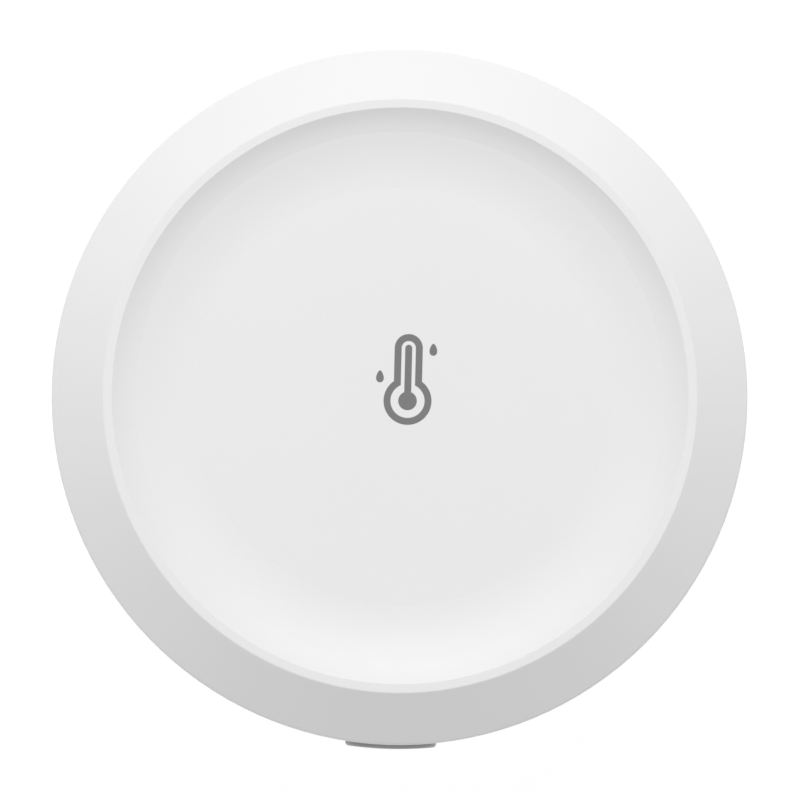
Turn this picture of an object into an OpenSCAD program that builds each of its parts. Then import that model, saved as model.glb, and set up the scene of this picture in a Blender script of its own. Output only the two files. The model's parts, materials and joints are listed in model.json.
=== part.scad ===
// Round room sensor for temperature and humidity, powered by two small cells.
// It lies on its back: +Z leaves the dished face, -Y is the side of the reset button,
// and the origin is the centre of the flat back. Every length is in millimetres.

/* [Cells] */
// Diameter of one cell
cell_d = 10.5; // [9.5:0.1:11.5]
// Length of a cell's can without its terminal nub
can_len = 43.5; // [40:0.5:47]
// Diameter of the terminal nub
nub_d = 3.8; // [3:0.1:4.6]
// Length of the terminal nub
nub_len = 1; // [0.9:0.05:1.4]
// Radius of the can's rolled edges
edge_round = 0.6; // [0.3:0.05:0.9]
// Radius of the nub's edge
nub_round = 0.3; // [0.2:0.05:0.5]
// Depth of the seal round the nub
cell_step = 0.3; // [0.2:0.05:0.4]
// Gap between the two cells
cell_gap = 1.4; // [1.2:0.1:2.4]

/* [Contacts] */
// Thickness of the contact plates
plate_t = 0.3; // [0.2:0.05:0.5]
// How far a contact plate's edge stays inside the cell's outline
plate_inset = 0.4; // [0.3:0.05:0.7]
// Width of a solder tab
tab_w = 1.6; // [1.2:0.1:2.4]
// Length of a solder tab above the board
tab_proud = 0.6; // [0.4:0.1:1]
// Height of the pressed dimple that meets the nub
dimple_h = 0.25; // [0.15:0.05:0.4]
// Diameter of the pressed dimple
dimple_d = 3; // [2:0.1:3.6]
// Length of a spring with its cell in place
spring_len = 3.4; // [3.2:0.1:4.5]
// Diameter of the spring wire
wire_d = 0.5; // [0.4:0.05:0.6]
// Turns of a spring
spring_turns = 3; // [2:1:3]
// Radius of a spring where it meets the cell
spring_tip_r = 1.9; // [1.6:0.1:2.2]

/* [Battery tray] */
// Wall of the tray
tray_wall = 1.2; // [1:0.1:1.6]
// Thickness of the tray's roof
roof_t = 1.2; // [1:0.1:1.8]
// Clearance round a cell in its pocket
pocket_clear = 0.3; // [0.2:0.05:0.45]
// Thickness of the ribs that hold the contact plates
keeper_t = 0.6; // [0.5:0.05:0.7]
// How much of each plate edge the ribs cover
keeper_cover = 0.8; // [0.6:0.1:1]
// Height of the board above the roof
standoff_h = 0.8; // [0.6:0.1:1.4]
// Distance of the roof's gussets from the middle
gusset_x = 5; // [4:0.5:6]
// Reach of a gusset along the roof
gusset_w = 4; // [3:0.5:5]
// Reach of a gusset down the wall
gusset_h = 5; // [4:0.5:6]
// Inside width of the sensing chamber
chamber_w = 17; // [16:0.5:20]

/* [Board] */
// Thickness of the main board
board_t = 1; // [0.8:0.1:1.6]
// Gap between the board's edge and the tray's edge
board_inset = 0.8; // [0.5:0.1:1.4]
// Width of the slots that insulate the sensing tongue
moat_w = 1; // [0.8:0.1:1.4]
// Width of the sensing tongue
tongue_w = 7; // [6:0.5:9]
// Length of the sensing tongue
tongue_len = 5.5; // [5:0.1:6.5]
// Free height over the tallest piece on the board
headroom = 0.6; // [0.3:0.1:1]

/* [Parts on the board] */
// Width of the radio module
module_w = 15; // [13:0.5:17]
// Length of the radio module
module_len = 18; // [16:0.5:20]
// Thickness of the radio module's own board
module_t = 0.8; // [0.6:0.1:1]
// Half-round solder notches along each side of the module
notch_count = 9; // [6:1:10]
// Diameter of a solder notch
notch_d = 0.7; // [0.5:0.1:0.9]
// How far the shield stays inside the module's sides
shield_inset = 1.2; // [0.8:0.1:2]
// Length of the shield
shield_len = 11; // [9:0.5:12]
// Height of the shield
shield_h = 1.5; // [1.2:0.1:1.8]
// Thickness of the shield's sheet
shield_t = 0.2; // [0.15:0.05:0.3]
// Width of the humidity sensor
sensor_w = 3; // [2:0.1:3.5]
// Height of the humidity sensor
sensor_h = 1; // [0.8:0.1:1.2]
// Diameter of the sensor's air port
port_d = 1.1; // [0.8:0.1:1.4]
// Depth of the sensor's air port
port_depth = 0.4; // [0.2:0.05:0.6]
// Distance of the signal light from the centre
led_out = 11; // [10:0.5:13]
// Width of the signal light
led_w = 2; // [1.6:0.1:2.4]
// Depth of the signal light
led_depth = 1.25; // [0.8:0.05:1.6]
// Height of the signal light
led_h = 0.8; // [0.6:0.1:1.1]
// Length of the buffer capacitor
buffer_len = 3.5; // [3:0.1:4]
// Width of the buffer capacitor
buffer_w = 2.8; // [2.4:0.1:3.2]
// Height of the buffer capacitor
buffer_h = 1.9; // [1.5:0.1:2.2]
// Length of a small chip part
chip_len = 1.6; // [1:0.1:2]
// Width of a small chip part
chip_w = 0.8; // [0.5:0.1:1.2]
// Height of a chip resistor
resistor_h = 0.45; // [0.3:0.05:0.6]
// Height of a chip capacitor
ceramic_h = 0.8; // [0.5:0.1:1]

/* [Housing] */
// Wall of the shell
wall = 1.6; // [1.3:0.1:2]
// Thickness of the dished face
face_t = 1.6; // [1.3:0.1:2]
// Thickness of the back cover
base_t = 1.6; // [1.3:0.1:2.4]
// Lean of the side wall, in degrees
draft = 4; // [2:0.5:6]
// Clearance between the tray and the shell
tray_clear = 0.3; // [0.2:0.05:0.5]
// Width of the sloping rim, seen from the front
bevel_w = 4.6; // [3.8:0.1:5]
// Slope of the rim, in degrees
bevel_angle = 40; // [30:1:42]
// Width of the flat lip round the dish
lip_w = 0.78; // [0.5:0.02:1.2]
// Depth of the dish
dish_depth = 1.6; // [1.4:0.05:1.8]
// Width of the dish's curved edge
dish_run = 7; // [6.5:0.1:7.5]
// Slope of the dish where its two curves meet, in degrees
dish_knee = 15; // [13:0.5:17]
// Slope of the dish at the lip, in degrees
dish_brink = 34; // [30:1:40]
// Radius of the rim's outer edge
rim_round = 0.5; // [0.3:0.05:0.8]
// Radius of the lip's outer edge
lip_round = 0.2; // [0.1:0.05:0.3]
// Diameter of the screw bosses
boss_d = 5; // [4.6:0.1:5.4]
// Number of air slots
vent_count = 7; // [3:2:9]
// Width of an air slot
vent_w = 1.4; // [1:0.1:1.8]
// Angle between air slots, in degrees
vent_step = 5; // [4:0.5:6]

/* [Back cover] */
// Height of the back cover's outer band
band_h = 4.2; // [3.6:0.1:5]
// Shadow gap between the band and the shell
seam_gap = 0.3; // [0.2:0.05:0.6]
// Height of the stiffening rings
ring_h = 0.5; // [0.3:0.1:0.8]
// Width of a stiffening ring
ring_w = 1.5; // [1.2:0.1:2]
// Radius of the inner stiffening ring
inner_ring_r = 9.5; // [8:0.5:12]
// Radius of the outer stiffening ring
outer_ring_r = 18; // [15:0.5:20]
// Radius of the band's lower edge
foot_round = 0.8; // [0.4:0.1:1]
// Radius of the edges that face each other across the shadow gap
edge_ease = 0.3; // [0.1:0.05:0.5]
// Running clearance of the spigot in the shell
spigot_clear = 0.08; // [0.05:0.01:0.1]
// Reach of the spigot into the shell
spigot_h = 0.7; // [0.5:0.1:0.9]
// Wall of the spigot
spigot_t = 0.8; // [0.7:0.05:1]
// Thickness of a bayonet arm
arm_t = 1.4; // [1.2:0.1:1.6]
// Reach of a bayonet lug
lug_reach = 0.9; // [0.7:0.05:1.1]
// Height of a bayonet lug
lug_h = 1.3; // [1:0.1:1.6]
// Height of a bayonet ledge
ledge_h = 1; // [0.8:0.1:1.2]
// Clearance of a lug over its ledge and beside the shell
lug_clear = 0.2; // [0.15:0.05:0.3]
// Width of a bayonet lug, in degrees
lug_sweep = 10; // [8:1:11]

/* [Reset button] */
// Width of the button
button_w = 8.2; // [7:0.1:9]
// Height of the button
button_h = 3.4; // [3:0.1:3.8]
// Reach of the button past the rim
button_proud = 0.3; // [0.1:0.05:0.6]
// Radius of the button's outer edges
button_round = 0.4; // [0.2:0.05:0.5]
// Sliding clearance of the button in its window
button_clear = 0.12; // [0.08:0.01:0.2]
// Travel of the button
button_travel = 0.3; // [0.2:0.05:0.4]
// Thickness of the button's flange
flange_t = 0.8; // [0.6:0.1:1.2]
// How far the flange stands out round the button
flange_rim = 1; // [0.8:0.1:1.2]
// Gap between the flange and its seat
flange_gap = 0.15; // [0.1:0.05:0.25]
// Thickness of the seat behind the shell's wall
seat_t = 1; // [0.8:0.1:1.4]
// Length of the nib that meets the switch
nib_len = 0.9; // [0.7:0.1:1.2]

/* [Switch] */
// Width of the switch
switch_w = 6; // [5.5:0.1:6.5]
// Height of the plunger's axis under the board
switch_axis = 1.9; // [1.7:0.1:2.1]
// Depth of the switch behind its frame
switch_depth = 3.5; // [3:0.1:4]
// Height of the switch
switch_h = 3.4; // [3.2:0.1:3.8]
// Thickness of the switch's sheet frame
frame_t = 0.2; // [0.15:0.05:0.3]
// Diameter of the plunger
plunger_d = 1.8; // [1.5:0.1:2.1]
// Reach of the plunger out of the frame
plunger_proud = 0.7; // [0.6:0.05:0.9]
// Length of the plunger inside the switch
plunger_seat = 1.2; // [1:0.1:1.5]
// Clearance round the plunger
plunger_clear = 0.05; // [0.03:0.01:0.1]

/* [Screws] */
// Diameter of the screw's shank
screw_d = 1.9; // [1.7:0.1:2.1]
// Length of the shank
screw_len = 5.8; // [5:0.1:6]
// Diameter of the head
head_d = 3.8; // [3.4:0.1:4.2]
// Height of the head
head_h = 1.3; // [1:0.1:1.6]
// Radial clearance of the shank in the boss
thread_clear = 0.05; // [0.03:0.01:0.08]
// Radial clearance of the shank in the tray and the board
hole_clear = 0.2; // [0.15:0.05:0.3]

/* [Hidden] */
$fn = 96;
eps = 0.01;
touch = 0.05;
bury = 0.3;
room = 0.3;
past = 1;

// Levels, counted up from the back
roof_clear = 0.2;
cell_low_z = base_t + ring_h + room;
cell_z = cell_low_z + cell_d / 2;
roof_z = cell_low_z + cell_d + roof_clear;
board_z = roof_z + roof_t + standoff_h;
board_top = board_z + board_t;
tallest = max(module_t + shield_h, buffer_h, ceramic_h, tab_proud);
ceiling_z = board_top + tallest + headroom;
floor_z = ceiling_z + face_t;
lip_z = floor_z + dish_depth;
rim_z = lip_z - bevel_w * tan(bevel_angle);
seam_z = band_h + seam_gap;

// Plan of the cells and their pockets
slot_t = plate_t + 2 * touch;
cell_y = (cell_d + cell_gap) / 2;
pocket_x = (can_len + nub_len + spring_len) / 2 + slot_t;
pocket_y = cell_y + cell_d / 2 + pocket_clear;
keeper_x = pocket_x - slot_t - keeper_t;
plate_w = cell_d - 2 * plate_inset;
window_w = plate_w - 2 * keeper_cover;

// Radii, counted out from the tray
tray_r = norm([pocket_x, pocket_y]) + tray_wall;
skirt_in_r = tray_r + tray_clear;
rim_r = side_r(rim_z);
lip_out_r = rim_r - bevel_w;
lip_in_r = lip_out_r - lip_w;
flat_r = lip_in_r - dish_run;
board_r = tray_r - board_inset;
function side_r(z) = skirt_in_r + wall + (z - seam_z) * tan(draft);

// Spigot of the cover, and the tray's cut-back below its top
spigot_r = skirt_in_r - spigot_clear;
spigot_in_r = spigot_r - spigot_t;
spigot_z = seam_z + spigot_h;

// Bayonet
lug_out_r = skirt_in_r - lug_clear;
arm_out_r = lug_out_r - lug_reach;
arm_in_r = arm_out_r - arm_t;
ledge_in_r = arm_out_r + lug_clear;
ledge_z = spigot_z + lug_clear;
lug_z = ledge_z + ledge_h + lug_clear;
lug_angles = [55, 125, 235, 305];
lug_half = lug_sweep / 2;
ledge_lead = 1;
stop_gap = 0.4;
stop_sweep = 2;
stop_inset = 0.1;
lug_top = lug_z + lug_h;

// Screws stand inside the circle that the bayonet arms sweep
boss_r = arm_in_r - room - boss_d / 2;
boss_angles = [53, 127, 233, 307];
boss_cover = 0.2;
boss_top = floor_z - boss_cover;

// Button, from its face inwards
button_z = board_z - switch_axis;
face_r = rim_r + button_proud;
seat_y = side_r(button_z) - wall - seat_t;
flange_y = seat_y - flange_gap;
nib_y = flange_y - flange_t;
plunger_y = nib_y - nib_len;
switch_y = plunger_y - plunger_proud;
flange_w = button_w + 2 * flange_rim;
flange_h = button_h + 2 * flange_rim;
seat_side = 1;
seat_over = 0.3;
flange_side = 0.9;
flange_room = flange_w / 2 + flange_side;

// Sensing chamber and its air slots
vent_high_z = roof_z + room;
vent_low_z = lug_top + room;
baffle_h = roof_z - vent_low_z;
tongue_y = board_r - tongue_len;
tongue_neck = 1;
sensor_y = board_r - tongue_len / 2;
chamber_y = tongue_y - 2 * moat_w;

// Light spot behind the face
shroud_gap = 0.7;
shroud_t = 0.8;
shroud_bore = led_w + 2 * shroud_gap;
shroud_d = shroud_bore + 2 * shroud_t;
shroud_z = board_top + led_h + 2 * touch;
spot_skin = 0.7;

// Radio module, its bare end with the aerial towards the sensing tongue
module_gap = 2.8;
module_y = tongue_y - moat_w - module_gap - module_len;
shield_y = module_y + shield_inset;
notch_end = 1;
notch_step = (module_len - 2 * notch_end) / (notch_count - 1);

// Small parts on the board, by the place of their centres
buffer_at = [-15, 3];
resistors_at = [[-12, -4], [-12, -6.5], [12, -6], [5, -16.5], [-5, -16.5]];
ceramics_at = [[-8, -7], [6, -7], [9, -7], [14, 2], [14, 5]];

// Colours
white = "#f2f2f0";
grey = "#8c8d8f";
board_green = "#1f5a3c";
steel = "#c4c6c8";
black = "#222325";

function unit(v) = v / norm(v);

// Points where a round of this radius leaves the corner b of the outline a, b, c
function tangents(a, b, c, radius) =
    let (u = unit(a - b), v = unit(c - b), reach = radius / tan(acos(u * v) / 2))
    [b + u * reach, b + v * reach];

// Disc that fills the round between those points
module round_corner(a, b, c, radius) {
    u = unit(a - b);
    v = unit(c - b);
    translate(b + unit(u + v) * radius / sin(acos(u * v) / 2)) circle(radius);
}

// Piece of a ring between two radii, two heights and two angles
module ring_piece(inner, outer, low, high, from, to) {
    rotate([0, 0, from])
        rotate_extrude(angle = to - from)
            translate([inner, low])
                square([outer - inner, high - low]);
}

// Flat-ended slot outline, centred, with round short ends
module pill(width, height) {
    square([width - height, height], center = true);
    for (side = [-1, 1]) translate([side * (width - height) / 2, 0]) circle(d = height);
}

// Turns a flat outline to face -Y and carries it from y = -from to y = -to
module facing_out(from, to) {
    translate([0, -from, button_z]) rotate([90, 0, 0]) linear_extrude(to - from) children();
}

module at_bosses() {
    for (a = boss_angles) rotate([0, 0, a]) translate([boss_r, 0, 0]) children();
}

// Front shell: sloping rim, flat lip and a dish whose edge is two tangent curves
brink_span = sin(dish_brink) - sin(dish_knee);
brink_drop = cos(dish_knee) - cos(dish_brink);
brink_r = (dish_depth - dish_run * (1 - cos(dish_knee)) / sin(dish_knee))
    / (brink_drop - brink_span * (1 - cos(dish_knee)) / sin(dish_knee));
sweep_r = (dish_run - brink_r * brink_span) / sin(dish_knee);
knee_r = flat_r + sweep_r * sin(dish_knee);
knee_z = floor_z + sweep_r * (1 - cos(dish_knee));

module dish_section() {
    over = lip_z - floor_z + bury;
    translate([0, floor_z]) square([flat_r, over]);
    intersection() {
        translate([flat_r, floor_z + sweep_r]) circle(sweep_r);
        translate([flat_r, floor_z - eps]) square([knee_r - flat_r, over + eps]);
    }
    intersection() {
        translate([knee_r - brink_r * sin(dish_knee), knee_z + brink_r * cos(dish_knee)]) circle(brink_r);
        translate([flat_r, floor_z - eps]) square([lip_in_r - flat_r, over + eps]);
    }
}

// Inside of the shell: the rim's slope and the side wall carried in by the wall's thickness
slope_r = lip_out_r - wall * sin(bevel_angle);
slope_z = lip_z - wall * cos(bevel_angle);
eave_r = (skirt_in_r + (slope_z + slope_r * tan(bevel_angle) - seam_z) * tan(draft))
    / (1 + tan(bevel_angle) * tan(draft));
eave_z = slope_z - (eave_r - slope_r) * tan(bevel_angle);
attic_z = knee_z - face_t * cos(dish_knee);
attic_r = slope_r + (slope_z - attic_z) / tan(bevel_angle);

module shell_section() {
    hub = [0, seam_z];
    foot = [side_r(seam_z), seam_z];
    rim = [rim_r, rim_z];
    lip = [lip_out_r, lip_z];
    peak = [0, lip_z];
    difference() {
        union() {
            polygon(concat(
                [hub],
                tangents(hub, foot, rim, edge_ease),
                tangents(foot, rim, lip, rim_round),
                tangents(rim, lip, peak, lip_round),
                [peak]
            ));
            round_corner(hub, foot, rim, edge_ease);
            round_corner(foot, rim, lip, rim_round);
            round_corner(rim, lip, peak, lip_round);
        }
        dish_section();
        polygon([
            [0, seam_z - past],
            [skirt_in_r, seam_z - past],
            [skirt_in_r, seam_z],
            [eave_r, eave_z],
            [attic_r, attic_z],
            [knee_r, attic_z],
            [flat_r, ceiling_z],
            [0, ceiling_z]
        ]);
    }
}

module air_slots() {
    height = vent_high_z - vent_low_z;
    for (i = [0:vent_count - 1])
        rotate([0, 0, (i - (vent_count - 1) / 2) * vent_step])
            translate([0, skirt_in_r - past, (vent_low_z + vent_high_z) / 2])
                rotate([90, 90, 180])
                    linear_extrude(rim_r - skirt_in_r + 2 * past)
                        pill(height, vent_w);
}

// Ledge that a lug turns over, with a stop standing on its far end
module bayonet_ledge(a) {
    outer = skirt_in_r + bury;
    stop = a + lug_half + stop_gap;
    ring_piece(ledge_in_r, outer, ledge_z, ledge_z + ledge_h,
        a - lug_half - ledge_lead, stop + stop_sweep + ledge_lead);
    ring_piece(ledge_in_r + stop_inset, outer, ledge_z + ledge_h / 2, lug_top, stop, stop + stop_sweep);
}

module front_shell() {
    color(white)
    difference() {
        union() {
            rotate_extrude() shell_section();
            at_bosses() translate([0, 0, board_top]) cylinder(d = boss_d, h = boss_top - board_top);
            facing_out(seat_y, seat_y + seat_t + bury)
                square([flange_w + 2 * seat_side, flange_h + 2 * seat_over], center = true);
            translate([0, -led_out, shroud_z]) cylinder(d = shroud_d, h = ceiling_z + bury - shroud_z);
            for (a = lug_angles) bayonet_ledge(a);
        }
        at_bosses()
            translate([0, 0, board_top - past])
                cylinder(d = screw_d + 2 * thread_clear, h = roof_z + screw_len + room - board_top + past);
        facing_out(seat_y - past, face_r + past)
            pill(button_w + 2 * button_clear, button_h + 2 * button_clear);
        translate([0, -led_out, shroud_z - past])
            cylinder(d = shroud_bore, h = floor_z - spot_skin - shroud_z + past);
        air_slots();
    }
}

// Back cover: flat back, outer band, running spigot and four bayonet arms with lugs
module cover_section() {
    hub = [0, 0];
    foot = [side_r(0), 0];
    band = [side_r(band_h), band_h];
    seat = [spigot_r, band_h];
    round_corner(hub, foot, band, foot_round);
    round_corner(foot, band, seat, edge_ease);
    polygon(concat(
        [hub],
        tangents(hub, foot, band, foot_round),
        tangents(foot, band, seat, edge_ease),
        [
            seat,
            [spigot_r, spigot_z],
            [spigot_in_r, spigot_z],
            [spigot_in_r, base_t],
            [0, base_t]
        ]
    ));
}

module back_cover() {
    color(white) {
        rotate_extrude() cover_section();
        for (r = [inner_ring_r, outer_ring_r])
            ring_piece(r - ring_w / 2, r + ring_w / 2, base_t - bury, base_t + ring_h, 0, 360);
        for (a = lug_angles) {
            ring_piece(arm_in_r, arm_out_r, base_t - bury, lug_top, a - lug_half, a + lug_half);
            ring_piece(arm_out_r - bury, lug_out_r, lug_z, lug_top, a - lug_half, a + lug_half);
        }
    }
}

// Battery tray: open troughs under a round roof, with keeper ribs for the contact plates
module cell_pocket() {
    r = cell_d / 2 + pocket_clear;
    depth = cell_z - cell_low_z + past;
    translate([-keeper_x, 0, cell_z]) rotate([0, 90, 0]) cylinder(r = r, h = 2 * keeper_x);
    translate([-keeper_x, -r, cell_z - depth]) cube([2 * keeper_x, 2 * r, depth]);
    translate([-pocket_x, 0, cell_z]) rotate([0, 90, 0]) cylinder(d = window_w, h = 2 * pocket_x);
    translate([-pocket_x, -window_w / 2, cell_z - depth]) cube([2 * pocket_x, window_w, depth]);
}

module plate_slots() {
    width = plate_w + 2 * touch;
    height = plate_w / 2 + touch + cell_z - cell_low_z + past;
    for (y = [-cell_y, cell_y])
        translate([pocket_x - slot_t, y - width / 2, cell_low_z - past]) cube([slot_t, width, height]);
    translate([-pocket_x, -cell_y - width / 2, cell_low_z - past])
        cube([slot_t, 2 * cell_y + width, height]);
    for (y = [-cell_y, cell_y])
        translate([pocket_x - slot_t, y - tab_w / 2 - touch, cell_z])
            cube([slot_t, tab_w + 2 * touch, board_z - cell_z]);
}

module tray_gusset(x) {
    side = pocket_y + tray_wall;
    translate([x + tray_wall / 2, 0, 0])
        rotate([90, 0, -90])
            linear_extrude(tray_wall)
                for (flip = [0, 1]) mirror([flip, 0])
                    polygon([
                        [side - bury, roof_z + bury],
                        [side + gusset_w, roof_z + bury],
                        [side + gusset_w, roof_z],
                        [side, roof_z - gusset_h],
                        [side - bury, roof_z - gusset_h]
                    ]);
}

module sensing_chamber() {
    outer = chamber_w / 2 + tray_wall;
    intersection() {
        translate([0, 0, vent_low_z]) cylinder(r = tray_r, h = baffle_h + bury);
        difference() {
            translate([-outer, chamber_y - tray_wall, vent_low_z])
                cube([2 * outer, tray_r, baffle_h + bury]);
            translate([-chamber_w / 2, chamber_y, vent_low_z - past])
                cube([chamber_w, tray_r, baffle_h + 2 * past]);
        }
    }
}

module battery_tray() {
    box_x = pocket_x + tray_wall;
    box_y = pocket_y + tray_wall;
    through = roof_t + standoff_h + 2 * past;
    color(white)
    difference() {
        union() {
            intersection() {
                translate([-box_x, -box_y, cell_low_z])
                    cube([2 * box_x, 2 * box_y, roof_z - cell_low_z + bury]);
                union() {
                    cylinder(r = spigot_in_r - tray_clear, h = roof_z);
                    translate([0, 0, spigot_z + tray_clear]) cylinder(r = tray_r, h = roof_z);
                }
            }
            translate([0, 0, roof_z]) cylinder(r = tray_r, h = roof_t);
            at_bosses() translate([0, 0, roof_z]) cylinder(d = boss_d, h = roof_t + standoff_h);
            for (x = [-gusset_x, gusset_x]) tray_gusset(x);
            sensing_chamber();
        }
        for (y = [-cell_y, cell_y]) translate([0, y, 0]) cell_pocket();
        plate_slots();
        at_bosses() translate([0, 0, roof_z - past]) cylinder(d = screw_d + 2 * hole_clear, h = through);
        translate([-flange_room, -tray_r - past, roof_z - past])
            cube([2 * flange_room, tray_r + past - (switch_y - frame_t - switch_depth - room), through]);
        translate([-chamber_w / 2, chamber_y, roof_z - past]) cube([chamber_w, tray_r, through]);
    }
}

// Main board with its sensing tongue, screw holes and slots for the solder tabs
module main_board() {
    color(board_green)
    difference() {
        translate([0, 0, board_z]) cylinder(r = board_r, h = board_t);
        at_bosses()
            translate([0, 0, board_z - past])
                cylinder(d = screw_d + 2 * hole_clear, h = board_t + 2 * past);
        translate([-flange_room, -board_r - past, board_z - past])
            cube([2 * flange_room, board_r + past - switch_y, board_t + 2 * past]);
        for (y = [-cell_y, cell_y])
            translate([pocket_x - slot_t - touch, y - tab_w / 2 - 2 * touch, board_z - past])
                cube([slot_t + 2 * touch, tab_w + 4 * touch, board_t + 2 * past]);
        for (side = [-1, 1])
            translate([side * (tongue_w + moat_w) / 2 - moat_w / 2, tongue_y, board_z - past])
                cube([moat_w, board_r, board_t + 2 * past]);
        translate([-tongue_w / 2 + tongue_neck, tongue_y - moat_w, board_z - past])
            cube([tongue_w - 2 * tongue_neck, moat_w, board_t + 2 * past]);
    }
}

// Small board with half-round solder notches along both sides
module radio_module() {
    color("#20603f")
    difference() {
        translate([-module_w / 2, module_y, board_top]) cube([module_w, module_len, module_t]);
        for (side = [-1, 1], i = [0:notch_count - 1])
            translate([side * module_w / 2, module_y + notch_end + i * notch_step, board_top - past])
                cylinder(d = notch_d, h = module_t + 2 * past);
    }
}

// Sheet can, open underneath, with a step where its lid folds over its walls
module radio_shield() {
    width = module_w - 2 * shield_inset;
    color(steel)
    translate([-width / 2, shield_y, board_top + module_t])
    difference() {
        union() {
            cube([width, shield_len, shield_h - shield_t]);
            translate([shield_t, shield_t, 0])
                cube([width - 2 * shield_t, shield_len - 2 * shield_t, shield_h]);
        }
        translate([2 * shield_t, 2 * shield_t, -past])
            cube([width - 4 * shield_t, shield_len - 4 * shield_t, shield_h - shield_t + past]);
    }
}

// Sensor package hanging under the tongue, with its air port facing the chamber
module humidity_sensor() {
    color(black)
    difference() {
        translate([-sensor_w / 2, sensor_y - sensor_w / 2, board_z - sensor_h])
            cube([sensor_w, sensor_w, sensor_h]);
        translate([0, sensor_y, board_z - sensor_h - past]) cylinder(d = port_d, h = port_depth + past);
    }
}

// Carrier with a clear block on it, under the thin spot of the face
module signal_light() {
    block_w = led_w * 2 / 3;
    color("#e8e4d0")
    translate([0, -led_out, board_top]) {
        translate([-led_w / 2, -led_depth / 2, 0]) cube([led_w, led_depth, led_h / 2]);
        translate([-block_w / 2, -led_depth / 2, 0]) cube([block_w, led_depth, led_h]);
    }
}

module on_board(places, length, width, height) {
    for (at = places)
        translate([at.x - length / 2, at.y - width / 2, board_top]) cube([length, width, height]);
}

module buffer_capacitor() {
    color("#c98a2b") on_board([buffer_at], buffer_len, buffer_w, buffer_h);
}

module chip_resistors() {
    color(black) on_board(resistors_at, chip_len, chip_w, resistor_h);
}

module chip_capacitors() {
    color("#b79a73") on_board(ceramics_at, chip_len, chip_w, ceramic_h);
}

// Side-pressed switch under the board's edge
module switch_body() {
    color(black)
    difference() {
        translate([-switch_w / 2, -switch_y + frame_t, board_z - switch_h])
            cube([switch_w, switch_depth, switch_h]);
        facing_out(switch_y - frame_t - plunger_seat - button_travel - touch, switch_y + past)
            circle(d = plunger_d + 2 * plunger_clear);
    }
}

module switch_frame() {
    color(steel)
    difference() {
        translate([-switch_w / 2, -switch_y, board_z - switch_h]) cube([switch_w, frame_t, switch_h]);
        facing_out(switch_y - past, switch_y + past) circle(d = plunger_d + 2 * plunger_clear);
    }
}

module switch_plunger() {
    color("#d8d5cc")
    facing_out(switch_y - frame_t - plunger_seat, plunger_y) circle(d = plunger_d);
}

// Half of the button's section, from its axis out, with a round outer edge
module cap_section(height) {
    r = button_h / 2;
    square([r - button_round, height]);
    square([r, height - button_round]);
    translate([r - button_round, height - button_round]) circle(button_round);
}

// Pill bent round the rim's axis: a bar with a round end at each side, cut to the face's radius
module cap() {
    foot = flange_y - eps;
    height = face_r + eps - foot;
    half_turn = asin((button_w - button_h) / 2 / face_r);
    intersection() {
        union() {
            rotate([0, 0, -90 - half_turn])
                rotate_extrude(angle = 2 * half_turn)
                    translate([foot, button_z])
                        rotate(-90)
                            for (flip = [0, 1]) mirror([flip, 0]) cap_section(height);
            for (side = [-1, 1])
                rotate([0, 0, side * half_turn])
                    translate([0, -foot, button_z])
                        rotate([90, 0, 0])
                            rotate_extrude() cap_section(height);
        }
        translate([0, 0, button_z - button_h]) cylinder(r = face_r, h = 2 * button_h);
    }
}

// Button with a face that follows the rim, its flange and its nib
module reset_button() {
    nib_d = 2;
    color(grey) {
        cap();
        facing_out(nib_y, flange_y) square([flange_w, flange_h], center = true);
        facing_out(plunger_y + touch / 2, nib_y + eps) circle(d = nib_d);
    }
}

// Half of a cell's section, from its axis out: rolled edges, and a step down to the nub's seal
module cell_section() {
    r = cell_d / 2;
    nub_r = nub_d / 2;
    tip = can_len + nub_len;
    seal_r = r - edge_round - cell_step;
    seal_z = can_len - cell_step;
    bottom = [0, 0];
    heel = [r, 0];
    shoulder = [r, can_len];
    crown = [0, can_len];
    neck = [nub_r, seal_z];
    brow = [nub_r, tip];
    peak = [0, tip];
    round_corner(bottom, heel, shoulder, edge_round);
    round_corner(heel, shoulder, crown, edge_round);
    round_corner(neck, brow, peak, nub_round);
    polygon(concat(
        [bottom],
        tangents(bottom, heel, shoulder, edge_round),
        tangents(heel, shoulder, crown, edge_round),
        [[seal_r, can_len], [seal_r, seal_z], neck],
        tangents(neck, brow, peak, nub_round),
        [peak]
    ));
}

// Cell lying along X, its nub towards +X
module cell() {
    translate([pocket_x - slot_t - dimple_h - can_len - nub_len, 0, cell_z])
        rotate([0, 90, 0])
            rotate_extrude() cell_section();
}

module upper_cell() {
    color("#3f7f5a") translate([0, cell_y, 0]) cell();
}

module lower_cell() {
    color("#3f7f5a") translate([0, -cell_y, 0]) mirror([1, 0, 0]) cell();
}

// Plate at the +X end of a trough; a tab, where it has one, is soldered to the board
module contact_plate(y, width, tab) {
    translate([pocket_x - slot_t + touch, y - width / 2, cell_z - plate_w / 2])
        cube([plate_t, width, plate_w]);
    if (tab)
        translate([pocket_x - slot_t + touch, y - tab_w / 2, cell_z])
            cube([plate_t, tab_w, board_top + tab_proud - cell_z]);
}

module dimple(y) {
    translate([pocket_x - slot_t + touch - dimple_h, y, cell_z]) rotate([0, 90, 0])
        cylinder(d1 = dimple_d - 2 * dimple_h, d2 = dimple_d, h = dimple_h + plate_t / 2);
}

module positive_contact() {
    color(steel) {
        contact_plate(cell_y, plate_w, true);
        dimple(cell_y);
    }
}

module negative_contact() {
    color(steel) contact_plate(-cell_y, plate_w, true);
}

module bridge_contact() {
    color(steel) mirror([1, 0, 0]) {
        contact_plate(0, 2 * cell_y + plate_w, false);
        dimple(-cell_y);
    }
}

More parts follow.
